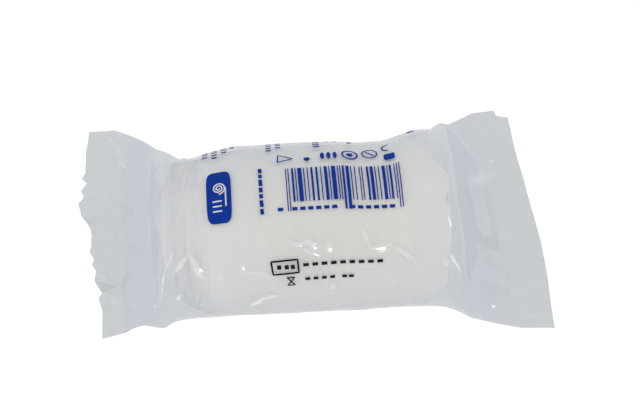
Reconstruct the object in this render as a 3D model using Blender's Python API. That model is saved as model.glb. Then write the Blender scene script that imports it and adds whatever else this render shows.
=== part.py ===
"""Elastic bandage roll, sealed in a clear film wrapper and lying on its side.

The roll's axis runs along X, +Y points to the far side and +Z is up. The origin is the middle of
the flat strip of film that the pack lies on. All lengths are in metres.
"""

import math

import bmesh
import bpy

# The bandage. Its tail lies thinned on the last turn, the outer turns' edges draw in at both ends,
# and the far side flares at the right end. Directions round the roll run up from the far side.
BANDAGE_WIDTH = 0.080
ROLL_DIAMETER = 0.0443
TURN_THICKNESS = 0.0018
TURN_GAP = 0.0003
CORE_DIAMETER = 0.0030
TAIL_LENGTH = 0.083
FLARE_HEIGHT = 0.0030
LEFT_DOME_FAR = 0.0048
LEFT_DOME_NEAR = 0.0096
RIGHT_DOME = 0.0024
TAIL_DEGREES = 330
FLARE_DEGREES = 40

# The film. The slots are where its two layers nearly meet, at the seals.
FILM_WALL = 0.0005
ROLL_CLEARANCE = 0.0004
FLAT_DEPTH = 0.0012
LEFT_OVERHANG = 0.0107
RIGHT_OVERHANG = 0.0135
END_SLOT = 0.0003

# The end seals. A slant is how far the far corner is shifted to the left of the middle.
SEAL_LENGTH = 0.0095
SEAL_GAP = 0.0003
LEFT_SLANT = 0.0012
RIGHT_SLANT = 0.0026

# Facets
TURN_FACETS = 24
FILM_FACETS = 34
SEAL_FACETS = 22

FILM_RADIUS = ROLL_DIAMETER / 2 + ROLL_CLEARANCE + FILM_WALL
AXIS_HEIGHT = FILM_RADIUS - FLAT_DEPTH
SEAL_THICKNESS = 2 * FILM_WALL
HALF_WIDTH = BANDAGE_WIDTH / 2

# Sections of the film. The place is -1 and 1 at the roll's ends and -2 and 2 at the seals. Reaches,
# heights, crown and keel are shares of the film's radius: the far and near folds are placed from the
# roll's axis, and the crown and keel are the film's height above and depth below the line between
# the folds. A pinch of 0.5 is a round section and 1 a lens with sharp folds. The sway is the share
# of the seal's waves that the section follows.
# (place, far reach, far height, near reach, near height, crown, keel, pinch, sway)
FILM_SECTIONS = (
    (-2.00, 1.52, 0.10, -1.27, 0.08, 0.00, 0.00, 1.00, 1.00),
    (-1.80, 1.47, 0.10, -1.21, 0.06, 0.10, 0.10, 0.96, 0.92),
    (-1.50, 1.39, 0.09, -1.18, 0.05, 0.22, 0.22, 0.90, 0.70),
    (-1.20, 1.29, 0.07, -1.20, 0.03, 0.36, 0.36, 0.82, 0.45),
    (-1.00, 1.21, 0.05, -1.21, 0.02, 0.56, 0.52, 0.75, 0.25),
    (-0.93, 1.13, 0.03, -1.13, 0.01, 0.74, 0.68, 0.66, 0.12),
    (-0.85, 1.03, 0.01, -1.05, 0.00, 0.86, 0.84, 0.57, 0.04),
    (-0.77, 0.95, 0.00, -0.99, 0.00, 0.91, 0.94, 0.51, 0.00),
    (-0.65, 0.94, 0.00, -0.98, 0.00, 0.96, 0.99, 0.50, 0.00),
    (-0.42, 0.99, 0.00, -0.99, 0.00, 1.00, 1.00, 0.50, 0.00),
    (-0.10, 1.00, 0.00, -1.00, 0.00, 1.00, 1.00, 0.50, 0.00),
    (0.20, 1.00, 0.00, -1.00, 0.00, 1.00, 1.00, 0.50, 0.00),
    (0.42, 0.98, 0.00, -1.01, 0.00, 0.98, 1.00, 0.50, 0.00),
    (0.54, 0.97, 0.01, -1.01, 0.00, 0.97, 1.00, 0.50, 0.00),
    (0.68, 1.02, 0.04, -1.02, 0.00, 1.00, 1.00, 0.50, 0.00),
    (0.80, 1.08, 0.07, -1.03, 0.00, 1.04, 1.00, 0.50, 0.01),
    (0.92, 1.15, 0.09, -1.06, -0.01, 1.05, 1.00, 0.50, 0.04),
    (1.00, 1.21, 0.08, -1.11, -0.02, 0.98, 0.94, 0.55, 0.10),
    (1.15, 1.29, 0.03, -1.20, -0.05, 0.68, 0.68, 0.68, 0.28),
    (1.40, 1.39, -0.03, -1.29, -0.07, 0.36, 0.36, 0.82, 0.55),
    (1.70, 1.49, -0.06, -1.38, -0.08, 0.16, 0.17, 0.93, 0.85),
    (2.00, 1.57, -0.09, -1.45, -0.08, 0.00, 0.00, 1.00, 1.00),
)

# Ends of the roll. The place is a share of half the bandage's width, and the girth a share of the
# roll's diameter, for every turn alike.
# (place, girth)
ROLL_SECTIONS = (
    (-1.00, 0.86),
    (-0.80, 0.93),
    (-0.45, 0.99),
    (0.00, 1.00),
    (0.52, 0.97),
    (1.00, 0.97),
)

# Waves across the seals. Across is 1 at the far corner and -1 at the near one. The heights are
# shares of the film's radius, added at the inner line and at the cut edge.
# (across, height at the inner line, height at the edge)
LEFT_WAVES = (
    (-1.00, 0.00, 0.02),
    (-0.72, 0.09, 0.13),
    (-0.42, -0.05, -0.07),
    (-0.10, 0.06, 0.12),
    (0.22, -0.04, -0.04),
    (0.55, 0.06, 0.10),
    (0.82, -0.03, -0.06),
    (1.00, 0.00, 0.00),
)
RIGHT_WAVES = (
    (-1.00, 0.00, -0.06),
    (-0.60, 0.05, 0.04),
    (-0.20, -0.02, -0.05),
    (0.25, 0.03, 0.04),
    (0.65, -0.03, -0.04),
    (1.00, 0.00, 0.03),
)

# The cut edges of the seals. The reach is a share of the seal's length, from its inner line.
# (across, reach)
LEFT_EDGE = (
    (-1.00, 0.70),
    (-0.82, 0.67),
    (-0.64, 0.73),
    (-0.59, 0.64),
    (-0.46, 0.80),
    (-0.39, 0.74),
    (-0.31, 0.87),
    (-0.25, 0.80),
    (-0.18, 0.90),
    (-0.12, 0.84),
    (0.00, 0.83),
    (0.14, 1.06),
    (0.29, 1.14),
    (0.36, 0.99),
    (0.43, 1.03),
    (0.50, 0.86),
    (0.56, 0.99),
    (0.86, 0.82),
    (1.00, 0.74),
)
RIGHT_EDGE = (
    (-1.00, 0.92),
    (-0.50, 1.02),
    (0.00, 1.06),
    (0.50, 1.06),
    (0.94, 1.08),
    (0.96, 0.80),
    (1.00, 0.72),
)


def clear_scene():
    for item in list(bpy.data.objects):
        bpy.data.objects.remove(item, do_unlink=True)


def smooth(share):
    """0 to 1 with level ends."""
    share = min(1.0, max(0.0, share))
    return share * share * (3 - 2 * share)


def read_table(table, place, column, eased=False):
    """A column's value at a place, between the rows on its two sides."""
    for low, high in zip(table, table[1:]):
        if place <= high[0]:
            share = max(0.0, (place - low[0]) / (high[0] - low[0]))
            if eased:
                share = smooth(share)
            return low[column] + (high[column] - low[column]) * share
    return table[-1][column]


def film_place(place):
    """X of a section: along the roll between -1 and 1, and along the flaps beyond."""
    if place < -1:
        return -HALF_WIDTH + (place + 1) * LEFT_OVERHANG
    if place > 1:
        return HALF_WIDTH + (place - 1) * RIGHT_OVERHANG
    return place * HALF_WIDTH


def fold_line(row, across):
    """Y and Z on the straight line between a section's folds."""
    share = (1 + across) / 2
    y = row[3] + (row[1] - row[3]) * share
    z = row[4] + (row[2] - row[4]) * share
    return y * FILM_RADIUS, AXIS_HEIGHT + z * FILM_RADIUS


def end_tables(place):
    """The waves and the slant of the left or the right end."""
    if place < 0:
        return LEFT_WAVES, LEFT_SLANT
    return RIGHT_WAVES, RIGHT_SLANT


def film_ring(row, inset):
    """One ring of the film's section: its outside at no inset, or its inside at the film's wall."""
    place, far_y, far_z, near_y, near_z, crown, keel, pinch, sway = row
    waves, slant = end_tables(place)
    half_chord = math.hypot(far_y - near_y, far_z - near_z) / 2 * FILM_RADIUS
    fold_inset = inset * 2 * pinch
    tilt = math.atan2(far_z - near_z, far_y - near_y)
    half_turn = FILM_FACETS // 2
    points = []
    for facet in range(FILM_FACETS):
        angle = 2 * math.pi * facet / FILM_FACETS
        across = math.cos(angle) * (1 - fold_inset / half_chord)
        swell = abs(math.sin(angle)) ** (2 * pinch)
        height = crown if facet < half_turn else keel
        lift = END_SLOT / 2 + max(0.0, height * FILM_RADIUS - FILM_WALL) * swell + FILM_WALL - inset
        if facet > half_turn:
            lift = -lift
        if facet % half_turn == 0:
            lift = 0.0
        y, z = fold_line(row, across)
        z += sway * read_table(waves, across, 1, eased=True) * FILM_RADIUS
        x = film_place(place) - slant * sway * across
        points.append((x, y - math.sin(tilt) * lift, max(z + math.cos(tilt) * lift, inset)))
    return points


def bridge_rings(mesh, first, second):
    """Quads between two closed rings of vertices."""
    count = len(first)
    for index in range(count):
        following = (index + 1) % count
        mesh.faces.new((first[index], first[following], second[following], second[index]))


def finish_object(name, mesh, material):
    """Make an object of a bmesh, with its faces turned outwards and shaded smooth."""
    bmesh.ops.recalc_face_normals(mesh, faces=mesh.faces)
    data = bpy.data.meshes.new(name)
    mesh.to_mesh(data)
    mesh.free()
    data.materials.append(material)
    data.shade_smooth()
    data.set_sharp_from_angle(angle=math.radians(40))
    item = bpy.data.objects.new(name, data)
    bpy.context.collection.objects.link(item)
    return item


def principled(name, colour, roughness, alpha=1.0):
    material = bpy.data.materials.new(name)
    material.use_nodes = True
    shader = material.node_tree.nodes["Principled BSDF"]
    shader.inputs["Base Color"].default_value = (*colour, 1.0)
    shader.inputs["Roughness"].default_value = roughness
    shader.inputs["Metallic"].default_value = 0.0
    shader.inputs["Alpha"].default_value = alpha
    material.diffuse_color = (*colour, alpha)
    return material


def film_sleeve(material):
    """The tube of film round the roll, pressed flat towards a slot at each end."""
    mesh = bmesh.new()
    outer = [[mesh.verts.new(point) for point in film_ring(row, 0.0)] for row in FILM_SECTIONS]
    inner = [[mesh.verts.new(point) for point in film_ring(row, FILM_WALL)] for row in FILM_SECTIONS]
    for rings in (outer, inner):
        for first, second in zip(rings, rings[1:]):
            bridge_rings(mesh, first, second)
    bridge_rings(mesh, outer[0], inner[0])
    bridge_rings(mesh, outer[-1], inner[-1])
    return finish_object("film_sleeve", mesh, material)


def seal_point(row, across, reach, side):
    """A point of a seal, on its top (side 1) or its underside (side -1)."""
    waves, slant = end_tables(row[0])
    y, z = fold_line(row, across)
    inner_wave = read_table(waves, across, 1, eased=True)
    edge_wave = read_table(waves, across, 2, eased=True)
    z += (inner_wave + (edge_wave - inner_wave) * reach) * FILM_RADIUS
    outward = math.copysign(SEAL_GAP + SEAL_LENGTH * reach, row[0])
    return film_place(row[0]) + outward - slant * across, y, z + side * SEAL_THICKNESS / 2


def end_seal(name, row, edge, material):
    """A band where the film's two layers are fused, cut off along its outer edge."""
    mesh = bmesh.new()
    stops = {round(-1 + 2 * step / SEAL_FACETS, 4) for step in range(SEAL_FACETS + 1)}
    stops |= {stop[0] for stop in edge}
    rings = []
    for across in sorted(stops):
        cut = read_table(edge, across, 1)
        corners = ((0.0, 1), (cut / 2, 1), (cut, 1), (cut, -1), (cut / 2, -1), (0.0, -1))
        ring = [seal_point(row, across, reach, side) for reach, side in corners]
        rings.append([mesh.verts.new(point) for point in ring])
    for first, second in zip(rings, rings[1:]):
        bridge_rings(mesh, first, second)
    mesh.faces.new(rings[0])
    mesh.faces.new(rings[-1])
    return finish_object(name, mesh, material)


def roll_point(radius, angle, place):
    """A point of the roll. The angle runs up from the far side, and the place is -1 to 1.

    The outer turns' edges draw in at both ends, their far side flares at the right end, and the
    underside is pressed flat.
    """
    full = ROLL_DIAMETER / 2
    depth = radius / full
    nearness = (1 - math.cos(angle)) / 2
    if place < 0:
        dome = LEFT_DOME_FAR + (LEFT_DOME_NEAR - LEFT_DOME_FAR) * nearness
    else:
        dome = RIGHT_DOME
    x = place * (HALF_WIDTH - dome * depth ** 4)
    radius *= read_table(ROLL_SECTIONS, place, 1)
    toward_flare = max(0.0, math.cos(angle - math.radians(FLARE_DEGREES)))
    radius += FLARE_HEIGHT * smooth((place - 0.5) / 0.4) * toward_flare ** 2 * depth ** 6
    downward = max(0.0, -math.sin(angle))
    z = radius * math.sin(angle) + FLAT_DEPTH * depth ** 3 * downward ** 16
    return x, radius * math.cos(angle), AXIS_HEIGHT + z


def bandage_roll(material):
    """The bandage, wound from its core outwards, with its tail thinned onto the last turn."""
    pitch = TURN_THICKNESS + TURN_GAP
    full = ROLL_DIAMETER / 2
    core = CORE_DIAMETER / 2
    turns = (full - core - TURN_THICKNESS) / pitch + TAIL_LENGTH / (2 * math.pi * full)
    steps = round(turns * TURN_FACETS)
    mesh = bmesh.new()
    rings = []
    for step in range(steps + 1):
        angle = math.radians(TAIL_DEGREES) - 2 * math.pi * (steps - step) / TURN_FACETS
        inside = core + pitch * step / TURN_FACETS
        outside = min(inside + TURN_THICKNESS, full)
        ring = [roll_point(outside, angle, row[0]) for row in ROLL_SECTIONS]
        ring += [roll_point(inside, angle, row[0]) for row in reversed(ROLL_SECTIONS)]
        rings.append([mesh.verts.new(point) for point in ring])
    for first, second in zip(rings, rings[1:]):
        bridge_rings(mesh, first, second)
    mesh.faces.new(rings[0])
    mesh.faces.new(rings[-1])
    return finish_object("bandage_roll", mesh, material)


def build():
    clear_scene()
    white = principled("white_crepe", (0.86, 0.86, 0.83), 0.9)
    clear = principled("clear_film", (0.78, 0.81, 0.85), 0.2, alpha=0.35)
    bandage_roll(white)
    film_sleeve(clear)
    end_seal("left_end_seal", FILM_SECTIONS[0], LEFT_EDGE, clear)
    end_seal("right_end_seal", FILM_SECTIONS[-1], RIGHT_EDGE, clear)


build()
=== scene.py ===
"""Looks of an elastic bandage, wound into a roll and sealed in a clear film wrapper."""

import math

import bpy
import numpy as np
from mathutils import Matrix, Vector


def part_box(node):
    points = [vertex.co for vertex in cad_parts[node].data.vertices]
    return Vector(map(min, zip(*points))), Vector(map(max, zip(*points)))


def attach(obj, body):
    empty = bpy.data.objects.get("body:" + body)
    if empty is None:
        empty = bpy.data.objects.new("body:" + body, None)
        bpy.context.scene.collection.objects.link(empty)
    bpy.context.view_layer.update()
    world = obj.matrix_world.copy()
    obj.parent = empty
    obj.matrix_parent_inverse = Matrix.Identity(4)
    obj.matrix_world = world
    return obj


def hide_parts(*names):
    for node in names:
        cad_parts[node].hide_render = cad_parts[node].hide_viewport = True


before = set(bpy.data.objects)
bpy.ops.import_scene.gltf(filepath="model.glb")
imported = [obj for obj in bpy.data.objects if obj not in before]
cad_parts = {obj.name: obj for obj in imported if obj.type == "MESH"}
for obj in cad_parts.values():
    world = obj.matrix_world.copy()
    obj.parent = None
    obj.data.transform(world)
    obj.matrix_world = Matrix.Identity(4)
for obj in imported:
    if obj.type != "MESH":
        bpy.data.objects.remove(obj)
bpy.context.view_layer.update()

# The frame's main sizes, in metres. The roll's axis lies along X.
HALF_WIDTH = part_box("bandage_roll")[1][0]
ROLL_RADIUS = 0.02280
FILM_RADIUS = 0.02305
FLAT_DEPTH = 0.0012
AXIS_HEIGHT = FILM_RADIUS - FLAT_DEPTH

# The film, in metres. Its layers almost touch in the seals.
FILM_WALL = 0.00005
LAYER_GAP = 0.00003
SEAL_LENGTH = 0.0098
LEFT_OVERHANG = 0.0107
RIGHT_OVERHANG = 0.0135
LEFT_SLANT = 0.0012
RIGHT_SLANT = 0.0026
MM_PER_DEGREE = 1000 * FILM_RADIUS * math.pi / 180
FILM_STATIONS = 196
FILM_STEPS = 240
LEFT_CORNER = 0.0016

# The film's unevenness, in metres unless a name says otherwise. Dents go less deep on the roll than in
# the flaps, and a layer stays flat where its fold leaves it no room. FAR_STEPS is at its full height
# at STEP_DEGREES.
CREASE_HEIGHT = 0.00036
PLEAT_HEIGHT_MM = 0.12
STEP_DEGREES = 30
DEPTH_ON_ROLL = 0.00008
DEPTH_ADDED_IN_FLAPS = 0.00032
DEPTH_SOFTNESS = 0.00012
FLAPS_FROM = 0.038
FOLDS_FROM = 0.042
FADE_LENGTH = 0.004
ROOM_TO_CREASE = 0.0025
NORMAL_STEP = 0.0001

# The bandage, in metres. The film presses on it all round.
FILM_CLEARANCE = 0.00028
TURN_PITCH = 0.00060
TURN_THICKNESS = 0.00046
CORE_RADIUS = 0.0015
TAIL_DEGREES = 330
SWELL_DEGREES = 40
LEFT_DOME_FAR = 0.0048
LEFT_DOME_NEAR = 0.0096
TURN_STEPS = 64
STRIP_STATIONS = 13

# Sections of the film, as shares of FILM_RADIUS: place along the roll (-1 to 1, seals from -2 and 2),
# Y and Z of the far fold, Y and Z of the near fold, rise above and below the line between the folds,
# pinch (0.5 is a round section and 1 a lens) and the share of the seals' waves.
FILM_SECTIONS = (
    (-2.00, 1.50, 0.10, -1.27, 0.08, 0.00, 0.00, 1.00, 1.00),
    (-1.80, 1.45, 0.10, -1.21, 0.06, 0.10, 0.10, 0.96, 0.92),
    (-1.50, 1.38, 0.09, -1.18, 0.05, 0.22, 0.22, 0.90, 0.70),
    (-1.20, 1.29, 0.07, -1.20, 0.03, 0.36, 0.36, 0.82, 0.45),
    (-1.00, 1.21, 0.05, -1.21, 0.02, 0.56, 0.52, 0.75, 0.25),
    (-0.93, 1.13, 0.03, -1.13, 0.01, 0.74, 0.68, 0.66, 0.12),
    (-0.85, 1.00, 0.01, -1.05, 0.00, 0.86, 0.84, 0.57, 0.04),
    (-0.77, 0.93, 0.00, -0.99, 0.00, 0.91, 0.94, 0.51, 0.00),
    (-0.65, 0.98, 0.00, -0.98, 0.00, 0.97, 0.99, 0.50, 0.00),
    (-0.42, 1.04, 0.00, -0.99, 0.00, 1.00, 1.00, 0.50, 0.00),
    (-0.10, 1.05, 0.00, -1.00, 0.00, 1.00, 1.00, 0.50, 0.00),
    (0.20, 1.04, 0.00, -1.00, 0.00, 1.00, 1.00, 0.50, 0.00),
    (0.42, 1.00, 0.00, -1.01, 0.00, 0.98, 1.00, 0.50, 0.00),
    (0.54, 1.00, 0.01, -1.01, 0.00, 0.97, 1.00, 0.50, 0.00),
    (0.68, 1.06, 0.04, -1.02, 0.00, 1.00, 1.00, 0.50, 0.00),
    (0.80, 1.11, 0.07, -1.03, 0.00, 1.04, 1.00, 0.50, 0.01),
    (0.90, 1.14, 0.09, -1.06, -0.01, 1.05, 1.00, 0.51, 0.04),
    (1.00, 1.25, 0.08, -1.16, -0.02, 0.95, 0.94, 0.56, 0.10),
    (1.15, 1.34, 0.03, -1.28, -0.05, 0.68, 0.68, 0.68, 0.28),
    (1.40, 1.39, -0.02, -1.34, -0.07, 0.36, 0.36, 0.82, 0.55),
    (1.70, 1.47, -0.05, -1.40, -0.08, 0.16, 0.17, 0.93, 0.85),
    (2.00, 1.57, -0.09, -1.45, -0.08, 0.00, 0.00, 1.00, 1.00),
)
# Girth of the roll as a share of ROLL_RADIUS, and how far its upper far side swells, in mm.
ROLL_SECTIONS = ((-1.00, 0.91), (-0.93, 0.965), (-0.80, 0.99), (-0.50, 1.00), (0.00, 1.00), (1.00, 1.00))
FAR_SWELL = (
    (-1.00, 0.0), (-0.80, 0.0), (-0.50, 1.1), (0.15, 1.1),
    (0.42, 0.2), (0.52, 0.2), (0.90, 3.2), (1.00, 3.2),
)
# Small steps of the film's far side at the roll's ends: station and height, both in mm.
FAR_STEPS = (
    (-34.5, 0.0), (-33.4, -0.4), (-32.8, 0.4), (-30.5, 0.2), (-28.5, 0.0),
    (31.0, 0.0), (33.5, -0.3), (36.5, -0.9), (37.5, -0.5), (39.5, -0.2), (42.0, 0.0),
)
# Waves of the seals: place across (-1 near, 1 far), height at the inner boundary and at the cut edge.
LEFT_WAVES = (
    (-1.00, 0.00, 0.02),
    (-0.72, 0.09, 0.13),
    (-0.42, -0.05, -0.07),
    (-0.10, 0.06, 0.12),
    (0.22, -0.04, -0.04),
    (0.55, 0.06, 0.10),
    (0.82, -0.03, -0.06),
    (1.00, 0.00, 0.00),
)
RIGHT_WAVES = (
    (-1.00, 0.00, -0.06),
    (-0.60, 0.05, 0.04),
    (-0.20, -0.02, -0.05),
    (0.25, 0.03, 0.04),
    (0.65, -0.03, -0.04),
    (1.00, 0.00, 0.03),
)
# Cut edges: place across, and how far the seal reaches as a share of SEAL_LENGTH.
LEFT_EDGE = (
    (-1.00, 0.64), (-0.83, 0.59), (-0.71, 0.67), (-0.66, 0.57), (-0.59, 0.67), (-0.47, 0.81),
    (-0.38, 0.75), (-0.33, 0.85), (-0.29, 0.78), (-0.24, 0.88), (-0.19, 0.82), (-0.11, 0.79),
    (-0.03, 0.82), (0.08, 0.97), (0.15, 1.09), (0.28, 1.16), (0.33, 0.99), (0.38, 1.06),
    (0.44, 0.88), (0.48, 1.01), (0.53, 0.89), (0.82, 0.89), (0.97, 0.78), (1.00, 0.77),
)
RIGHT_EDGE = (
    (-1.00, 0.93), (-0.76, 0.96), (-0.46, 1.06), (-0.24, 1.12), (-0.07, 1.10), (0.04, 1.06),
    (0.21, 1.02), (0.82, 1.02), (0.93, 1.00), (0.95, 0.67), (1.00, 0.64),
)
# The right ends of the outer turns: degrees round the roll, and how far the edge draws in, in metres.
RIGHT_DRAW = (
    (0, 0.0050), (30, 0.0056), (78, 0.0056), (82, 0.0034), (89, 0.0021), (102, 0.0022), (104, 0.0034),
    (107, 0.0033), (109, 0.0019), (138, 0.0020), (140, 0.0026), (170, 0.0028), (174, 0.0048),
    (184, 0.0050), (196, 0.0072), (230, 0.0060), (270, 0.0042), (310, 0.0046), (360, 0.0050),
)
# Creases of one layer of the film: from station (mm) and degrees, to station and degrees, half the
# width of the ridge and its height, both in mm.
CREASES = (
    (-6.5, 127.0, -2.5, 129.5, 0.6, 0.40),
    (-4.0, 130.5, 0.5, 127.0, 0.6, 0.45),
    (-2.6, 131.5, 2.2, 137.0, 0.6, 0.45),
    (0.5, 127.0, 1.8, 133.0, 0.6, 0.40),
    (-0.8, 129.5, 2.6, 130.5, 0.5, 0.40),
    (4.4, 135.5, 6.8, 127.5, 0.7, 0.40),
    (13.8, 118.0, 16.6, 134.0, 0.8, 0.42),
    (16.6, 134.0, 21.4, 131.0, 0.8, 0.38),
    (21.4, 131.0, 28.5, 144.0, 0.8, 0.42),
    (35.2, 144.0, 36.4, 146.0, 0.7, 0.40),
    (-35.6, 136.0, -31.8, 128.5, 0.8, 0.50),
    (-31.0, 128.5, -28.4, 148.0, 0.8, 0.55),
    (-23.2, 146.0, -23.6, 151.0, 0.6, 0.40),
    (-18.4, 140.0, -17.6, 146.5, 0.6, 0.32),
    (-17.6, 146.5, -13.4, 147.0, 0.6, 0.30),
    (-13.4, 147.0, -11.2, 149.5, 0.6, 0.28),
    (-16.2, 179.0, -12.7, 169.0, 0.8, 0.45),
    (-12.7, 169.0, -8.0, 168.0, 0.7, 0.35),
    (5.6, 165.0, 6.4, 160.5, 0.6, 0.40),
)
# Broad soft swells of one layer, in the same columns.
SWELLS = (
    (-29.5, 196.0, -22.0, 174.0, 1.2, 0.40),
    (-38.5, 150.0, -30.0, 168.0, 1.2, 0.35),
    (-40.0, 60.0, -31.0, 48.0, 1.4, 0.35),
    (-39.0, 110.0, -33.0, 104.0, 1.2, 0.30),
    (37.5, 70.0, 46.0, 62.0, 1.6, 0.30),
    (38.0, 120.0, 47.0, 124.0, 1.6, 0.25),
    (36.0, 158.0, 46.0, 150.0, 1.6, 0.30),
    (-27.0, 230.0, -12.0, 236.0, 1.2, 0.50),
    (5.0, 228.0, 26.0, 235.0, 1.2, 0.50),
    (-24.0, 312.0, 4.0, 306.0, 1.2, 0.50),
    (10.0, 320.0, 32.0, 311.0, 1.2, 0.50),
    (-36.0, 352.0, -20.0, 344.0, 1.2, 0.45),
    (14.0, 350.0, 37.0, 341.0, 1.2, 0.45),
    (-10.0, 20.0, 12.0, 12.0, 1.2, 0.45),
)
# Folds that both layers share in the flaps, in the same columns.
FOLDS = (
    (-53.2, 22.0, -50.4, 35.0, 0.9, 0.50),
    (-50.4, 35.0, -49.7, 47.0, 0.9, 0.55),
    (-49.7, 47.0, -48.4, 58.0, 0.9, 0.40),
    (-49.9, 62.0, -50.5, 90.0, 0.6, 0.14),
    (-50.5, 90.0, -50.9, 112.0, 0.6, 0.14),
    (-50.9, 112.0, -50.0, 135.0, 0.6, 0.14),
    (-47.0, 85.0, -46.0, 87.0, 0.7, 0.30),
    (-61.0, 113.0, -54.5, 121.0, 0.7, 0.45),
    (-60.5, 119.0, -55.5, 122.0, 0.6, -0.30),
    (-59.0, 96.0, -54.0, 93.0, 1.6, 0.30),
    (-59.5, 66.0, -53.0, 72.0, 1.6, -0.30),
    (-58.0, 140.0, -52.0, 136.0, 1.2, 0.40),
    (50.8, 50.0, 52.4, 50.5, 0.7, 0.40),
    (54.9, 57.0, 56.4, 59.0, 0.8, 0.45),
    (48.0, 75.0, 58.0, 64.0, 2.2, 0.35),
    (47.0, 104.0, 60.0, 100.0, 2.4, -0.30),
    (46.0, 128.0, 60.0, 138.0, 2.2, 0.35),
    (52.0, 150.0, 62.0, 158.0, 1.6, -0.30),
)
# Print on the film, in mm: station, and arc from the roll's top line towards the near side.
INK_LOW = 0.000012
INK_HIGH = 0.000042
OVERPRINT_HIGH = 0.000070
INK_STEP = 0.6
BARS_START = -4.9
BAR_UNIT = 0.322
# Bars and spaces in units of BAR_UNIT, starting with a bar. A plain pattern that encodes nothing.
BAR_PATTERN = (
    1, 1, 1, 2, 2, 1, 1, 1, 4, 1, 1, 2, 1, 2, 2, 2, 2, 2, 1, 2, 3, 1, 1, 1, 4, 1,
    1, 1, 1, 1, 2, 1, 3, 1, 1, 2, 1, 3, 1, 1, 1, 3, 2, 1, 3, 1, 1, 2, 1, 2, 3, 1,
    1, 1, 2, 2, 1, 1, 1, 1, 1,
)
BARS_TOP = -5.4
BARS_RISE = 0.7
BARS_BOTTOM = 4.7
GUARDS_BOTTOM = 7.2
DIGIT_DASHES = (-7.4, -3.6, -1.5, 0.6, 2.7, 4.8, 6.9, 11.6, 13.7, 15.8, 17.9, 20.0, 22.1)
BADGE_CENTRE = (-22.7, 1.4)
BADGE_HALF = (3.3, 7.8)
# Columns of dashes near the film's far side: station, width and the arc of each dash.
TOP_DASHES = (
    (-27.0, 1.5, (-20.0, -17.8, -15.6)),
    (-24.4, 1.5, (-20.5, -18.2, -16.0, -13.9)),
    (-21.8, 1.5, (-21.0, -18.6, -16.4)),
    (-19.4, 1.2, (-21.5, -19.2)),
    (-9.6, 1.4, (-21.0, -18.8, -16.6, -14.6)),
    (-7.0, 1.4, (-21.0, -18.8, -16.6)),
    (3.2, 1.8, (-21.2, -19.2, -17.2, -15.4)),
    (6.4, 1.2, (-21.2,)),
    (8.8, 1.2, (-21.2,)),
    (12.6, 1.2, (-21.4, -19.4)),
    (29.4, 1.8, (-22.0, -20.6)),
    (64.3, 0.7, (3.6, 5.2, 6.9)),
)

# How much of the film is milky, how strongly it mirrors when seen square on, and what a steep view and a
# crease add to that. A crease's share is painted sheen: along the creases the film mirrors far more than
# it does elsewhere.
MILK_SHARE = 0.09
MIRROR_SQUARE_ON = 0.035
MIRROR_AT_EDGES = 0.06
PAINTED_SHEEN_ON_CREASES = 0.45

# Lamps: name, place in metres, width in metres and power in watts.
SOFT_LAMPS = (
    ("key", (-0.10, -0.35, 0.93), 0.6, 3.2),
    ("front_fill", (0.00, -0.90, 0.45), 0.8, 0.8),
    ("left_fill", (-0.90, -0.10, 0.45), 0.6, 1.6),
)
GLINT_LAMPS = (
    ("left_spark", (-0.93, -0.25, 0.28), 0.16, 0.4),
    ("front_spark", (0.25, -0.93, 0.28), 0.16, 0.3),
    ("right_spark", (0.61, -0.35, 0.73), 0.16, 0.5),
)
ROOM_LIGHT = 0.90

# The photo's view: degrees right of the front (minus is left) and above the floor, metres, and the
# lens in mm.
VIEW_AZIMUTH = -4
VIEW_ELEVATION = 60
VIEW_DISTANCE = 0.446
VIEW_TARGET = (0.0046, 0.0066, 0.022)
VIEW_LENS = 90
FLOOR_HALF = 3.0
FLOOR_DROP = 0.0001


def curve_through(points, places):
    """A smooth curve through the points that never overshoots them."""
    x = np.array([point[0] for point in points], float)
    y = np.array([point[1] for point in points], float)
    steps = np.diff(x)
    slopes = np.diff(y) / steps
    tangents = np.zeros(len(x))
    tangents[0] = slopes[0]
    tangents[-1] = slopes[-1]
    for index in range(1, len(x) - 1):
        before, after = slopes[index - 1], slopes[index]
        if before * after > 0:
            tangents[index] = 2 * before * after / (before + after)
    places = np.clip(places, x[0], x[-1])
    at = np.clip(np.searchsorted(x, places) - 1, 0, len(x) - 2)
    t = (places - x[at]) / steps[at]
    rise = (2 * t - 3) * t * t
    start = y[at] * (1 + rise) + steps[at] * tangents[at] * t * (1 - t) ** 2
    return start - y[at + 1] * rise - steps[at] * tangents[at + 1] * t * t * (1 - t)


def broken_line(points, places):
    """Straight runs between the points."""
    return np.interp(places, [point[0] for point in points], [point[1] for point in points])


def smooth(share):
    """0 to 1 with level ends."""
    share = np.clip(share, 0.0, 1.0)
    return share * share * (3 - 2 * share)


def film_x(place):
    """X of a section: along the roll between -1 and 1, and along the flaps beyond."""
    if place < -1:
        return -HALF_WIDTH + (place + 1) * LEFT_OVERHANG
    if place > 1:
        return HALF_WIDTH + (place - 1) * RIGHT_OVERHANG
    return place * HALF_WIDTH


def end_share(x, end):
    """How far a station lies into a seal, from 0 at its inner boundary to 1 at full length."""
    return np.clip((np.abs(x) - abs(end)) / SEAL_LENGTH, 0.0, 1.0) * (np.sign(x) == np.sign(end))


def ridge_height(x, degrees, ridges):
    """Sum of narrow ridges, in metres. Each runs between two places on the film."""
    station = x * 1000
    arc = degrees * MM_PER_DEGREE
    total = np.zeros(np.broadcast(x, degrees).shape)
    for x0, degrees0, x1, degrees1, width, height in ridges:
        run_x, run_arc = x1 - x0, (degrees1 - degrees0) * MM_PER_DEGREE
        from_x, from_arc = station - x0, arc - degrees0 * MM_PER_DEGREE
        along = (from_x * run_x + from_arc * run_arc) / (run_x ** 2 + run_arc ** 2)
        along = np.clip(along, 0.0, 1.0)
        distance = np.hypot(from_x - along * run_x, from_arc - along * run_arc)
        taper = 0.4 + 0.6 * np.sin(np.pi * along)
        total += height * taper * np.exp(-(distance / width) ** 1.5)
    return total / 1000


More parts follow.
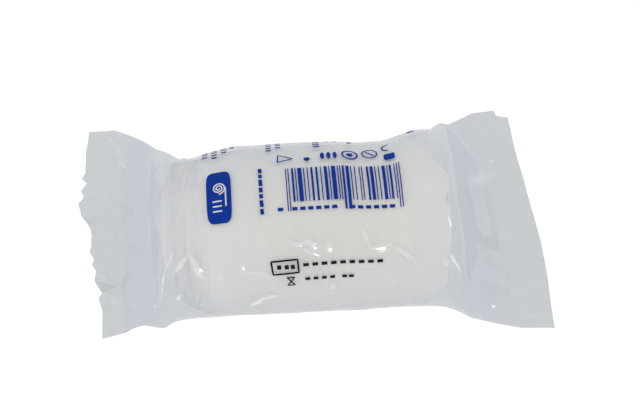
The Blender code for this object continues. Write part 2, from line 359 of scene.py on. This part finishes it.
def film_columns(x):
    """The sections' columns at stations x."""
    stations = [film_x(row[0]) for row in FILM_SECTIONS]
    inner = np.clip(x, stations[0], stations[-1])
    columns = []
    for column in range(1, 9):
        points = [(station, row[column]) for station, row in zip(stations, FILM_SECTIONS)]
        columns.append(curve_through(points, inner))
    return inner, columns


def smooth_film(x, angle, inset):
    """Points of the film without its creases, at stations x (metres) and angles round it."""
    inner, columns = film_columns(x)
    far_y, far_z, near_y, near_z, crown, keel, pinch, sway = columns
    into_left = end_share(x, film_x(-2))
    into_right = end_share(x, film_x(2))
    across = np.cos(angle) * (1 - inset / FILM_RADIUS * pinch)
    top = np.sin(angle) >= 0
    swell = np.abs(np.sin(angle)) ** (2 * pinch)
    rise = np.where(top, crown, keel) * FILM_RADIUS * swell
    thin = LAYER_GAP / 2 + FILM_WALL
    lift = rise + thin * (1 - np.clip(rise / thin / 4, 0, 1)) - inset
    lift = np.where(top, lift, -lift)
    lift = np.where(np.abs(np.sin(angle)) < 1e-6, 0.0, lift)
    tilt = np.arctan2(far_z - near_z, far_y - near_y)
    share = (1 + across) / 2
    y = (near_y + (far_y - near_y) * share) * FILM_RADIUS
    z = AXIS_HEIGHT + (near_z + (far_z - near_z) * share) * FILM_RADIUS
    left = x < 0
    for waves, into, here in ((LEFT_WAVES, into_left, left), (RIGHT_WAVES, into_right, ~left)):
        start = curve_through([wave[:2] for wave in waves], across)
        end = curve_through([(wave[0], wave[2]) for wave in waves], across)
        z = z + np.where(here, sway * (start + (end - start) * into), 0.0) * FILM_RADIUS
    y = y - np.where(left, LEFT_CORNER * into_left * np.clip(-6 * across - 5, 0, 1), 0.0)
    slant = np.where(left, LEFT_SLANT, RIGHT_SLANT)
    reach = np.where(left, broken_line(LEFT_EDGE, across), broken_line(RIGHT_EDGE, across))
    seal = np.where(left, -into_left, into_right) * SEAL_LENGTH * reach
    x = inner + seal - slant * sway * across
    y = y - np.sin(tilt) * lift
    z = z + np.cos(tilt) * lift
    return np.stack(np.broadcast_arrays(x, y, z), axis=-1)


def far_steps(x, angle):
    """Outward steps of the film's far side, in metres."""
    toward = np.maximum(0.0, np.cos(angle - math.radians(STEP_DEGREES)))
    return broken_line(FAR_STEPS, x * 1000) * toward ** 8 / 1000


def soft_unevenness(x, angle):
    """Low swells of the film, in metres."""
    station = x * 1000
    swells = 0.10 * np.sin(station / 3.1 + 2.0 * np.sin(3 * angle + 0.4))
    swells = swells + 0.08 * np.sin(station / 5.3 + 5 * angle + 1.3)
    swells = swells + 0.06 * np.sin(station / 1.9 - 9 * angle + 0.7) * np.sin(station / 7.0)
    return swells / 1000


def pleats(x, angle):
    """Pleats that run from the roll's shoulders to the seals, in metres."""
    station = np.abs(x) * 1000
    grow = smooth((station - 36) / 7) * smooth((51 - station) / 6)
    wave = np.sin(11 * angle + 0.08 * station + np.where(x < 0, 0.3, 1.9))
    wave = wave + 0.6 * np.sin(19 * angle - 0.10 * station + 0.8)
    return grow * wave * PLEAT_HEIGHT_MM / 1000


def film_surface(x, angle, inset):
    """Points of the film with its creases. X and the angles are arrays that broadcast together."""
    points = smooth_film(x, angle, inset)
    step, turn = NORMAL_STEP, 8 * NORMAL_STEP
    along = smooth_film(x + step, angle, 0.0) - smooth_film(x - step, angle, 0.0)
    round_it = smooth_film(x, angle + turn, 0.0) - smooth_film(x, angle - turn, 0.0)
    normals = np.cross(round_it, along)
    normals /= np.maximum(np.linalg.norm(normals, axis=-1, keepdims=True), 1e-12)
    columns = film_columns(x)[1]
    opening = np.where(np.sin(angle) >= 0, columns[4], columns[5]) * FILM_RADIUS
    opening = opening * np.abs(np.sin(angle)) ** (2 * columns[6])
    loose = smooth(opening / ROOM_TO_CREASE)
    degrees = np.degrees(angle)
    crease = ridge_height(x, degrees, CREASES + SWELLS) + soft_unevenness(x, angle) + pleats(x, angle)
    deepest = -DEPTH_ON_ROLL - DEPTH_ADDED_IN_FLAPS * smooth((np.abs(x) - FLAPS_FROM) / FADE_LENGTH)
    above = crease - deepest
    crease = deepest + (above + np.hypot(above, DEPTH_SOFTNESS)) / 2
    points = points + normals * ((crease + far_steps(x, angle)) * loose)[..., None]
    folded = np.where(degrees > 180, 360 - degrees, degrees)
    fold = ridge_height(x, folded, FOLDS) * smooth((np.abs(x) - FOLDS_FROM) / FADE_LENGTH)
    points[..., 2] += fold
    points[..., 2] = np.maximum(points[..., 2], inset)
    return points


def film_stations():
    """Even stations from cut edge to cut edge."""
    start = film_x(-2) - SEAL_LENGTH
    end = film_x(2) + SEAL_LENGTH
    return np.linspace(start, end, FILM_STATIONS)


def film_angles():
    """Even steps, of which some are moved a little so that the cut edges' corners fall on them."""
    step = 2 * math.pi / FILM_STEPS
    angles = np.arange(FILM_STEPS) * step
    for corner in LEFT_EDGE + RIGHT_EDGE:
        turn = math.acos(corner[0])
        index = round(turn / step)
        if 0 < index < FILM_STEPS // 2:
            angles[index] = turn
            angles[-index] = 2 * math.pi - turn
    return angles


def grid_normals(points):
    """Outward directions of a grid that closes along its second axis."""
    along = np.gradient(points, axis=0)
    round_it = np.roll(points, -1, axis=1) - np.roll(points, 1, axis=1)
    normals = np.cross(round_it, along)
    return normals / np.maximum(np.linalg.norm(normals, axis=-1, keepdims=True), 1e-12)


def mesh_object(name, vertices, faces, material):
    """A smoothly shaded mesh in the scene."""
    data = bpy.data.meshes.new(name)
    data.from_pydata([tuple(vertex) for vertex in vertices], [], [tuple(face) for face in faces])
    data.materials.append(material)
    data.shade_smooth()
    data.update()
    item = bpy.data.objects.new(name, data)
    bpy.context.scene.collection.objects.link(item)
    return item


def grid_faces(rows, columns, start, flip=False):
    """Quads of a grid that closes along its columns."""
    faces = []
    for row in range(rows - 1):
        for column in range(columns):
            following = (column + 1) % columns
            a = start + row * columns + column
            b = start + row * columns + following
            face = (a, b, b + columns, a + columns)
            faces.append(face[::-1] if flip else face)
    return faces


def crease_sheen_mask(x, angle):
    """How sharply the film is creased, from 0 to 1. It sets the painted sheen along the creases."""
    degrees = np.degrees(angle)
    folded = np.minimum(degrees, 360 - degrees)
    height = ridge_height(x, degrees, CREASES) + 0.5 * np.abs(ridge_height(x, folded, FOLDS))
    return np.clip(height / CREASE_HEIGHT, 0.0, 1.0) ** 2


def film_wrapper(material):
    """The whole film: sleeve and seals in one piece, with an outer and an inner side."""
    x = film_stations()
    angle = film_angles()
    outer = film_surface(x[:, None], angle[None, :], 0.0)
    inner = film_surface(x[:, None], angle[None, :], FILM_WALL)
    rows, columns = len(x), len(angle)
    vertices = np.concatenate([outer.reshape(-1, 3), inner.reshape(-1, 3)])
    faces = grid_faces(rows, columns, 0)
    faces += grid_faces(rows, columns, rows * columns, flip=True)
    for row in (0, rows - 1):
        for column in range(columns):
            following = (column + 1) % columns
            a = row * columns + column
            b = row * columns + following
            face = (a, b, b + rows * columns, a + rows * columns)
            faces.append(face[::-1] if row == 0 else face)
    item = mesh_object("film_wrapper", vertices, faces, material)
    # The crease attribute carries the painted sheen along the creases.
    creased = crease_sheen_mask(x[:, None], angle[None, :]).ravel()
    layer = item.data.attributes.new("crease", "FLOAT", "POINT")
    layer.data.foreach_set("value", np.concatenate([creased, creased]))
    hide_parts("film_sleeve", "left_end_seal", "right_end_seal")
    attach(item, "root")
    return outer


def film_radius_reader():
    """A function that reads how far the film's inside is from the roll's axis, in any direction."""
    stations = np.linspace(-HALF_WIDTH, HALF_WIDTH, 81)
    points = smooth_film(stations[:, None], np.radians(np.arange(0, 360, 1.5))[None, :], FILM_WALL)
    y = points[..., 1]
    z = np.maximum(points[..., 2], FILM_WALL) - AXIS_HEIGHT
    turn = np.arctan2(z, y) % (2 * math.pi)
    grid = np.linspace(0, 2 * math.pi, 241)
    rows = []
    for row_turn, row_radius in zip(turn, np.hypot(y, z)):
        rows.append(np.interp(grid, row_turn, row_radius, period=2 * math.pi))
    rows = np.array(rows)

    def read(x, angle):
        row = np.clip((x + HALF_WIDTH) / (2 * HALF_WIDTH), 0, 0.9999) * (len(stations) - 1)
        column = (angle % (2 * math.pi)) / (2 * math.pi) * (len(grid) - 1) % (len(grid) - 1)
        i, j = row.astype(int), column.astype(int)
        near = rows[i, j] * (1 - column + j) + rows[i, j + 1] * (column - j)
        far = rows[i + 1, j] * (1 - column + j) + rows[i + 1, j + 1] * (column - j)
        return near * (1 - row + i) + far * (row - i)

    return read


def roll_surface(radius, angle, place, film_radius):
    """Points of the roll. The angle runs up from the far side, and the place is -1 to 1."""
    depth = radius / ROLL_RADIUS
    nearness = (1 - np.cos(angle)) / 2
    left = LEFT_DOME_FAR + (LEFT_DOME_NEAR - LEFT_DOME_FAR) * nearness
    right = broken_line(RIGHT_DRAW, np.degrees(angle) % 360)
    dome = np.where(place < 0, left * depth ** 4, right * depth)
    x = place * (HALF_WIDTH - dome)
    girth = curve_through(ROLL_SECTIONS, place)
    toward = np.maximum(0.0, np.cos(angle - math.radians(SWELL_DEGREES)))
    swell = curve_through(FAR_SWELL, place) / 1000 * toward ** 2
    room = film_radius(x, angle) - FILM_CLEARANCE
    pressed = np.minimum(1.0, room / (ROLL_RADIUS * girth + swell))
    radius = (radius * girth + swell * depth ** 6) * (1 - (1 - pressed) * depth ** 2)
    return np.stack([x, radius * np.cos(angle), AXIS_HEIGHT + radius * np.sin(angle)], axis=-1)


def bandage(material):
    """The strip, wound from its core outwards. Its edges stray a little, the right one more."""
    turns = (ROLL_RADIUS - CORE_RADIUS - TURN_THICKNESS) / TURN_PITCH
    steps = round(turns * TURN_STEPS)
    step = np.arange(steps + 1)
    angle = math.radians(TAIL_DEGREES) - 2 * math.pi * (steps - step) / TURN_STEPS
    inside = CORE_RADIUS + TURN_PITCH * step / TURN_STEPS
    outside = inside + TURN_THICKNESS
    places = np.linspace(-1, 1, STRIP_STATIONS)
    shape = (steps + 1, STRIP_STATIONS)
    angles = np.broadcast_to(angle[:, None], shape)
    place = np.broadcast_to(places[None, :], shape)
    film_radius = film_radius_reader()
    top = roll_surface(np.broadcast_to(outside[:, None], shape), angles, place, film_radius)
    under = roll_surface(np.broadcast_to(inside[:, None], shape), angles, place, film_radius)
    rng = np.random.default_rng(7)
    for column, side, wild in ((0, -1, 0.4), (-1, 1, 0.8)):
        stray = 0.55 * np.sin(0.37 * angle + side) + 0.45 * np.sin(1.61 * angle) - 0.55
        stray = side * wild * (stray + rng.uniform(-0.12, 0.12, steps + 1)) / 1000
        top[:, column, 0] += stray
        under[:, column, 0] += stray
    rings = np.concatenate([top, under[:, ::-1]], axis=1)
    columns = rings.shape[1]
    faces = grid_faces(steps + 1, columns, 0, flip=True)
    faces.append(tuple(range(columns)))
    faces.append(tuple(range(steps * columns, (steps + 1) * columns))[::-1])
    item = mesh_object("bandage", rings.reshape(-1, 3), faces, material)
    item.data.set_sharp_from_angle(angle=math.radians(50))
    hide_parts("bandage_roll")
    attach(item, "root")


def new_material(name):
    """A material with an empty node tree."""
    material = bpy.data.materials.new(name)
    material.use_nodes = True
    tree = material.node_tree
    tree.nodes.clear()
    return material, tree


def add_node(tree, kind, **values):
    """A node with values on its own sockets, which are named with _ for a space."""
    node = tree.nodes.new(kind)
    for name, value in values.items():
        node.inputs[name.replace("_", " ")].default_value = value
    return node


def math_node(tree, operation, *values):
    """A Math node on numbers or on other nodes' outputs."""
    node = tree.nodes.new("ShaderNodeMath")
    node.operation = operation
    for socket, value in zip(node.inputs, values):
        if isinstance(value, (int, float)):
            socket.default_value = value
        else:
            tree.links.new(value, socket)
    return node.outputs[0]


def vector_node(tree, operation, vector, by=None):
    """A Vector Math node's outputs, for a linked vector and a constant one."""
    node = tree.nodes.new("ShaderNodeVectorMath")
    node.operation = operation
    if by:
        node.inputs[1].default_value = by
    tree.links.new(vector, node.inputs[0])
    return node.outputs


def fade(tree, value, none, full):
    """0 to 1 as the value runs from none to full."""
    node = tree.nodes.new("ShaderNodeMapRange")
    node.inputs["From Min"].default_value = none
    node.inputs["From Max"].default_value = full
    tree.links.new(value, node.inputs["Value"])
    return node.outputs[0]


def two_tones(tree, value, low, low_colour, high, high_colour):
    """A ramp between two colours at two values."""
    ramp = tree.nodes.new("ShaderNodeValToRGB")
    for element, position, colour in zip(
        ramp.color_ramp.elements, (low, high), (low_colour, high_colour)
    ):
        element.position = position
        element.color = (*colour, 1)
    tree.links.new(value, ramp.inputs[0])
    return ramp.outputs[0]


def unrolled_place(tree):
    """Shader coordinates along the roll (X) and round it (Y), in metres, with the join underneath."""
    place = tree.nodes.new("ShaderNodeTexCoord")
    split = tree.nodes.new("ShaderNodeSeparateXYZ")
    tree.links.new(place.outputs["Object"], split.inputs[0])
    height = math_node(tree, "SUBTRACT", split.outputs[2], AXIS_HEIGHT)
    turn = math_node(tree, "ARCTAN2", split.outputs[1], height)
    arc = math_node(tree, "MULTIPLY", turn, ROLL_RADIUS)
    join = tree.nodes.new("ShaderNodeCombineXYZ")
    tree.links.new(split.outputs[0], join.inputs[0])
    tree.links.new(arc, join.inputs[1])
    return join.outputs[0]


def front_lit_share(tree, place):
    """Painted light and shade: 1 in the middle of the roll's front, where the crepe is painted creamy as
    if lit, falling to 0 round it, where it is painted cooler and bluer as if shaded.
    """
    apart = vector_node(tree, "SUBTRACT", place, (0.008, -0.012, 0.0))[0]
    shares = vector_node(tree, "MULTIPLY", apart, (28.0, 50.0, 0.0))[0]
    length = vector_node(tree, "LENGTH", shares)["Value"]
    return fade(tree, length, 1.35, 0.45)


def end_wrinkles(tree, place):
    """Soft wrinkles round the roll near its left end, from 0 to 1. They bump the crepe and also darken
    its colour as painted shade.
    """
    split = tree.nodes.new("ShaderNodeSeparateXYZ")
    tree.links.new(place, split.inputs[0])
    near_end = fade(tree, split.outputs[0], -0.0265, -0.0300)
    off_cap = fade(tree, split.outputs[0], -0.0375, -0.0350)
    drawn_out = vector_node(tree, "MULTIPLY", place, (1.0, 0.22, 1.0))[0]
    folds = add_node(tree, "ShaderNodeTexNoise", Scale=430, Detail=4, Roughness=0.6, Distortion=0.8)
    tree.links.new(drawn_out, folds.inputs["Vector"])
    where = math_node(tree, "MULTIPLY", near_end, off_cap)
    return math_node(tree, "MULTIPLY", folds.outputs["Fac"], where)


def crepe_material():
    """White crepe: twisted threads round the roll, crossed by finer ones, soft and slightly uneven. Its
    colour holds painted shade between the threads and in the left end's wrinkles, and painted light and
    shade from the roll's creamy front to its cooler rims.
    """
    material, tree = new_material("white_crepe")
    links = tree.links
    output = tree.nodes.new("ShaderNodeOutputMaterial")
    shader = add_node(tree, "ShaderNodeBsdfPrincipled", Roughness=0.92)
    shader.inputs["Sheen Weight"].default_value = 0.25
    place = unrolled_place(tree)
    warp = add_node(tree, "ShaderNodeTexWave", Scale=430, Distortion=2.5, Detail=2, Detail_Scale=1.4)
    warp.bands_direction = "X"
    weft = add_node(tree, "ShaderNodeTexWave", Scale=300, Distortion=3.5, Detail=2, Detail_Scale=1.2)
    weft.bands_direction = "Y"
    cloud = add_node(tree, "ShaderNodeTexNoise", Scale=110, Detail=5, Roughness=0.6)
    for node in (warp, weft, cloud):
        links.new(place, node.inputs["Vector"])
    threads = math_node(tree, "MULTIPLY", warp.outputs["Fac"], weft.outputs["Fac"])
    threads = math_node(tree, "ADD", threads, math_node(tree, "MULTIPLY", warp.outputs["Fac"], 0.6))
    height = math_node(tree, "ADD", threads, math_node(tree, "MULTIPLY", cloud.outputs["Fac"], 2.0))
    wrinkles = end_wrinkles(tree, place)
    # Painted shade: the colour darkens between the threads and in the wrinkles, where shade falls; the
    # cloud is the crepe's own uneven tone.
    shade = math_node(tree, "MULTIPLY_ADD", threads, 0.10, cloud.outputs["Fac"])
    shade = math_node(tree, "SUBTRACT", shade, math_node(tree, "MULTIPLY", wrinkles, 0.5))
    # Painted light and shade: creamy tones where the roll's front is lit, cooler and bluer ones for its
    # shaded rims.
    lit_front_tones = two_tones(tree, shade, 0.10, (0.875, 0.840, 0.765), 0.80, (0.945, 0.908, 0.828))
    shaded_rim_tones = two_tones(tree, shade, 0.10, (0.870, 0.866, 0.850), 0.80, (0.945, 0.941, 0.925))
    blend = tree.nodes.new("ShaderNodeMixRGB")
    links.new(front_lit_share(tree, place), blend.inputs["Fac"])
    links.new(shaded_rim_tones, blend.inputs["Color1"])
    links.new(lit_front_tones, blend.inputs["Color2"])
    links.new(blend.outputs[0], shader.inputs["Base Color"])
    rumple = add_node(tree, "ShaderNodeBump", Distance=0.0014, Strength=1.0)
    links.new(wrinkles, rumple.inputs["Height"])
    bump = add_node(tree, "ShaderNodeBump", Distance=0.00010, Strength=0.14)
    links.new(rumple.outputs[0], bump.inputs["Normal"])
    links.new(height, bump.inputs["Height"])
    links.new(bump.outputs[0], shader.inputs["Normal"])
    links.new(shader.outputs[0], output.inputs[0])
    return material


def film_tint(tree, place):
    """The film's colour, a little bluer where its two layers hang free beside the roll."""
    split = tree.nodes.new("ShaderNodeSeparateXYZ")
    tree.links.new(place, split.inputs[0])
    outwards = math_node(tree, "ABSOLUTE", split.outputs[0])
    reach = math_node(tree, "MULTIPLY", outwards, 10.0)
    tones = tree.nodes.new("ShaderNodeValToRGB")
    tones.color_ramp.elements[0].position = 0.395
    tones.color_ramp.elements[0].color = (0.916, 0.923, 0.932, 1)
    tones.color_ramp.elements[1].position = 0.515
    tones.color_ramp.elements[1].color = (0.916, 0.923, 0.930, 1)
    for position in (0.425, 0.495):
        element = tones.color_ramp.elements.new(position)
        element.color = (0.910, 0.918, 0.935, 1)
    tree.links.new(reach, tones.inputs[0])
    return tones.outputs[0]


def film_material():
    """Clear film with a faint grey-blue milkiness. Its creases carry painted sheen: there it mirrors far
    more strongly than elsewhere.
    """
    material, tree = new_material("clear_film")
    links = tree.links
    output = tree.nodes.new("ShaderNodeOutputMaterial")
    place = tree.nodes.new("ShaderNodeTexCoord").outputs["Object"]
    clear = tree.nodes.new("ShaderNodeBsdfTransparent")
    links.new(film_tint(tree, place), clear.inputs["Color"])
    milk = add_node(tree, "ShaderNodeBsdfPrincipled", Base_Color=(0.25, 0.26, 0.28, 1), Roughness=0.3)
    shine = add_node(tree, "ShaderNodeBsdfGlossy", Color=(1, 1, 1, 1), Roughness=0.09)
    noise = add_node(tree, "ShaderNodeTexNoise", Scale=220, Detail=3, Roughness=0.5)
    links.new(place, noise.inputs["Vector"])
    bump = add_node(tree, "ShaderNodeBump", Distance=0.0002, Strength=0.20)
    links.new(noise.outputs["Fac"], bump.inputs["Height"])
    links.new(bump.outputs[0], shine.inputs["Normal"])
    body = tree.nodes.new("ShaderNodeMixShader")
    body.inputs[0].default_value = MILK_SHARE
    links.new(clear.outputs[0], body.inputs[1])
    links.new(milk.outputs[0], body.inputs[2])
    edge = add_node(tree, "ShaderNodeLayerWeight", Blend=0.5)
    steep = math_node(tree, "POWER", edge.outputs["Facing"], 4.0)
    mirror = math_node(tree, "MULTIPLY_ADD", steep, MIRROR_AT_EDGES, MIRROR_SQUARE_ON)
    # Painted sheen: the crease attribute raises the mirror share along the creases.
    crease = tree.nodes.new("ShaderNodeAttribute")
    crease.attribute_name = "crease"
    mirror = math_node(tree, "MULTIPLY_ADD", crease.outputs["Fac"], PAINTED_SHEEN_ON_CREASES, mirror)
    gloss = tree.nodes.new("ShaderNodeMixShader")
    links.new(mirror, gloss.inputs[0])
    links.new(body.outputs[0], gloss.inputs[1])
    links.new(shine.outputs[0], gloss.inputs[2])
    links.new(gloss.outputs[0], output.inputs[0])
    return material


def ink_material(name, dark, light):
    """Printing ink, a little uneven."""
    material, tree = new_material(name)
    output = tree.nodes.new("ShaderNodeOutputMaterial")
    shader = add_node(tree, "ShaderNodeBsdfPrincipled", Roughness=0.5)
    shader.inputs["Specular IOR Level"].default_value = 0.08
    place = tree.nodes.new("ShaderNodeTexCoord")
    noise = add_node(tree, "ShaderNodeTexNoise", Scale=1500, Detail=2)
    tree.links.new(place.outputs["Object"], noise.inputs["Vector"])
    tones = two_tones(tree, noise.outputs["Fac"], 0.3, dark, 0.75, light)
    tree.links.new(tones, shader.inputs["Base Color"])
    tree.links.new(shader.outputs[0], output.inputs[0])
    return material


class Print:
    """Ink marks on the film. Each mark is a thin closed solid that follows the film's surface."""

    def __init__(self, film, low, high):
        self.film = film
        self.normals = grid_normals(film)
        self.low = low
        self.high = high
        self.vertices = []
        self.faces = []

    def read(self, grid, station, arc):
        """The grid's value at a place, between its four nearest points."""
        x = film_stations()
        row = np.clip((station / 1000 - x[0]) / (x[1] - x[0]), 0, len(x) - 1.001)
        ways = np.append(film_angles(), 2 * math.pi)
        column = np.radians((90 + arc / MM_PER_DEGREE) % 360)
        column = np.minimum(np.interp(column, ways, np.arange(FILM_STEPS + 1)), FILM_STEPS - 0.001)
        i, j = row.astype(int), column.astype(int)
        u, v = (row - i)[..., None], (column - j)[..., None]
        k = (j + 1) % FILM_STEPS
        near = grid[i, j] * (1 - v) + grid[i, k] * v
        far = grid[i + 1, j] * (1 - v) + grid[i + 1, k] * v
        return near * (1 - u) + far * u

    def mark(self, grid):
        """A closed solid over a grid of (station, arc) places."""
        grid = np.asarray(grid, float)
        rows, columns = grid.shape[:2]
        base = self.read(self.film, grid[..., 0], grid[..., 1])
        normal = self.read(self.normals, grid[..., 0], grid[..., 1])
        start = len(self.vertices)
        for height in (self.high, self.low):
            self.vertices += [tuple(point) for point in (base + normal * height).reshape(-1, 3)]
        size = rows * columns

        def at(row, column, layer):
            return start + layer * size + row * columns + column

        for row in range(rows - 1):
            for column in range(columns - 1):
                quad = ((row, column), (row, column + 1), (row + 1, column + 1), (row + 1, column))
                self.faces.append([at(*corner, 0) for corner in quad])
                self.faces.append([at(*corner, 1) for corner in reversed(quad)])
        rim = [(0, column) for column in range(columns)]
        rim += [(row, columns - 1) for row in range(1, rows)]
        rim += [(rows - 1, column) for column in range(columns - 2, -1, -1)]
        rim += [(row, 0) for row in range(rows - 2, 0, -1)]
        for here, following in zip(rim, rim[1:] + rim[:1]):
            self.faces.append([at(*here, 1), at(*following, 1), at(*following, 0), at(*here, 0)])

    def line(self, points, width):
        """A stroke of even width through the points."""
        points = np.asarray(points, float)
        fine = [points[0]]
        for start, end in zip(points, points[1:]):
            count = max(1, math.ceil(np.linalg.norm(end - start) / INK_STEP))
            fine += [start + (end - start) * step / count for step in range(1, count + 1)]
        fine = np.array(fine)
        ways = np.gradient(fine, axis=0)
        ways /= np.linalg.norm(ways, axis=1, keepdims=True)
        sides = np.stack([-ways[:, 1], ways[:, 0]], axis=1) * width / 2
        self.mark(np.stack([fine - sides, fine + sides], axis=1))

    def ring(self, centre, radius, width, start=0, end=358):
        """A ring, or the arc of one between two angles in degrees."""
        angles = np.radians(np.linspace(start, end, 25))
        points = [(centre[0] + radius * math.cos(a), centre[1] + radius * math.sin(a)) for a in angles]
        self.line(points, width)

    def shape(self, centre, half, power):
        """A filled oval (power 2) or rounded block (higher powers)."""
        rows = []
        count = max(4, math.ceil(2 * half[1] / INK_STEP))
        for t in np.cos(np.linspace(math.pi, 0, count + 1)) * 0.998:
            reach = half[0] * (1 - abs(t) ** power) ** (1 / power)
            columns = np.linspace(-reach, reach, max(2, math.ceil(2 * half[0] / INK_STEP)))
            rows.append([(centre[0] + column, centre[1] + half[1] * t) for column in columns])
        self.mark(rows)

    def finish(self, name, material):
        """Put the marks into the scene as one piece."""
        item = mesh_object(name, self.vertices, self.faces, material)
        item.data.set_sharp_from_angle(angle=math.radians(40))
        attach(item, "root")


def bar_code(ink):
    """Plain bars over a row of dashes, where the digits are on a real one."""
    station = BARS_START
    total = len(BAR_PATTERN)
    guards = (0, 2, total // 2, total // 2 + 2, total - 3, total - 1)
    for index, units in enumerate(BAR_PATTERN):
        width = units * BAR_UNIT
        if index % 2 == 0:
            bottom = GUARDS_BOTTOM if index in guards else BARS_BOTTOM
            middle = station + width / 2
            top = BARS_TOP - BARS_RISE * index / total
            ink.line([(middle, top), (middle + 0.15, bottom)], width * 0.88)
        station += width
    for start in DIGIT_DASHES:
        ink.line([(start, 6.6), (start + 1.4, 6.6)], 0.9)


def symbols(ink):
    """A row of plain marks above the bars, and the dashes of TOP_DASHES."""
    triangle = [(-6.7, -8.0), (-6.5, -11.4), (-2.6, -9.4), (-6.7, -8.0)]
    ink.line(triangle, 0.35)
    ink.shape((1.2, -8.9), (0.9, 0.8), 2)
    for index in range(3):
        ink.shape((5.4 + 1.7 * index, -10.0), (0.6, 1.5), 2)
    ink.ring((12.8, -10.6), 2.0, 0.5)
    ink.shape((12.8, -10.6), (0.9, 0.9), 2)
    ink.ring((18.2, -11.4), 2.0, 0.4)
    ink.line([(17.0, -12.6), (19.4, -10.2)], 0.4)
    ink.shape((23.4, -9.4), (1.5, 1.3), 8)
    ink.ring((23.4, -14.0), 1.6, 0.5, 90, 270)
    for start, width, arcs in TOP_DASHES:
        for arc in arcs:
            ink.line([(start, arc), (start + width, arc)], 0.9)


def side_dashes(ink):
    """A column of dashes beside the badge."""
    arc = -6.0
    for length in (1.6, 1.2, 2.0, 1.4, 1.2, 1.8, 1.5):
        ink.line([(-11.6, arc), (-11.5, arc + length)], 1.0)
        arc += length + 0.5


def badge(ink, overprint):
    """A plain blue block with a rolled strip drawn on it."""
    ink.shape(BADGE_CENTRE, BADGE_HALF, 5)
    x, arc = BADGE_CENTRE
    turns = [(0.25 + 1.55 * t, 4.5 * math.pi * t) for t in np.linspace(0, 1, 40)]
    spiral = [(x + radius * math.cos(a), arc - 2.2 + radius * math.sin(a)) for radius, a in turns]
    overprint.line(spiral, 0.38)
    overprint.line([(x + 1.8, arc - 2.2), (x + 1.8, arc + 3.2)], 0.38)
    for index in range(3):
        overprint.line([(x - 1.7, arc + 1.6 + 1.4 * index), (x + 0.7, arc + 1.6 + 1.4 * index)], 0.4)


def date_stamp(ink):
    """Three framed dashes, an hourglass and two rows of dashes, stamped in black."""
    frame_line = [(-10.0, 20.3), (-3.0, 19.9), (-2.8, 23.6), (-9.6, 24.1), (-10.0, 20.3)]
    ink.line(frame_line, 0.5)
    for start in (-8.5, -6.5, -4.9):
        ink.line([(start, 22.0), (start + 1.1, 21.9)], 1.2)
    for index in range(9):
        start = -1.6 + 2.45 * index
        ink.line([(start, 21.5 - 0.03 * index), (start + 1.5, 21.45 - 0.03 * index)], 0.9)
    for start in (-1.2, 1.0, 3.2, 5.4, 8.6, 10.4):
        ink.line([(start, 25.7), (start + 1.3, 25.7)], 0.85)
    hourglass = [(-6.0, 25.1), (-4.0, 25.0), (-5.9, 27.6), (-3.9, 27.5), (-6.0, 25.1)]
    ink.line(hourglass, 0.35)


def print_marks(film):
    """All the print on the film's outer side."""
    blue = Print(film, INK_LOW, INK_HIGH)
    white = Print(film, INK_HIGH + 0.000004, OVERPRINT_HIGH)
    black = Print(film, INK_LOW, INK_HIGH)
    bar_code(blue)
    symbols(blue)
    side_dashes(blue)
    badge(blue, white)
    date_stamp(black)
    blue.finish("blue_print", ink_material("blue_ink", (0.0005, 0.020, 0.185), (0.001, 0.026, 0.225)))
    white.finish("white_print", ink_material("white_ink", (0.44, 0.45, 0.45), (0.48, 0.49, 0.49)))
    black.finish("black_print", ink_material("black_ink", (0.003, 0.003, 0.004), (0.012, 0.012, 0.014)))


def floor():
    """A plain white floor that glows evenly, as a light table does."""
    material, tree = new_material("white_floor")
    nodes, links = tree.nodes, tree.links
    output = nodes.new("ShaderNodeOutputMaterial")
    add = nodes.new("ShaderNodeAddShader")
    diffuse = nodes.new("ShaderNodeBsdfDiffuse")
    diffuse.inputs["Color"].default_value = (0.05, 0.05, 0.05, 1)
    glow = nodes.new("ShaderNodeEmission")
    glow.inputs["Strength"].default_value = 1.0
    links.new(diffuse.outputs[0], add.inputs[0])
    links.new(glow.outputs[0], add.inputs[1])
    links.new(add.outputs[0], output.inputs[0])
    sides = ((-1, -1), (1, -1), (1, 1), (-1, 1))
    corners = [(FLOOR_HALF * x, FLOOR_HALF * y, -FLOOR_DROP) for x, y in sides]
    mesh_object("floor", corners, [(0, 1, 2, 3)], material)


def area_light(name, place, width, power):
    """A square lamp that points at the roll."""
    data = bpy.data.lights.new(name, "AREA")
    data.shape = "SQUARE"
    data.size = width
    data.energy = power
    item = bpy.data.objects.new(name, data)
    item.location = place
    aim = Vector((0, 0, AXIS_HEIGHT)) - Vector(place)
    item.rotation_euler = aim.to_track_quat("-Z", "Y").to_euler()
    bpy.context.scene.collection.objects.link(item)
    return item


def lights():
    """An even white room, broad lamps that don't glint, and small dim ones that only glint."""
    world = bpy.data.worlds.new("studio")
    world.use_nodes = True
    world.node_tree.nodes["Background"].inputs[0].default_value = (1.0, 1.0, 1.0, 1)
    world.node_tree.nodes["Background"].inputs[1].default_value = ROOM_LIGHT
    bpy.context.scene.world = world
    for lamp in SOFT_LAMPS:
        area_light(*lamp).visible_glossy = False
    for lamp in GLINT_LAMPS:
        area_light(*lamp).visible_diffuse = False


def camera():
    """The photo's view: from 60 degrees above, a little to the left of the roll's middle."""
    azimuth, elevation = math.radians(VIEW_AZIMUTH), math.radians(VIEW_ELEVATION)
    away = Vector((
        math.sin(azimuth) * math.cos(elevation),
        -math.cos(azimuth) * math.cos(elevation),
        math.sin(elevation),
    ))
    data = bpy.data.cameras.new("camera")
    data.lens = VIEW_LENS
    data.sensor_width = 36
    item = bpy.data.objects.new("camera", data)
    item.location = Vector(VIEW_TARGET) + away * VIEW_DISTANCE
    item.rotation_euler = (-away).to_track_quat("-Z", "Y").to_euler()
    bpy.context.scene.collection.objects.link(item)
    bpy.context.scene.camera = item


camera()
floor()
lights()
bandage(crepe_material())
print_marks(film_wrapper(film_material()))
bpy.context.scene.view_settings.view_transform = "Standard"
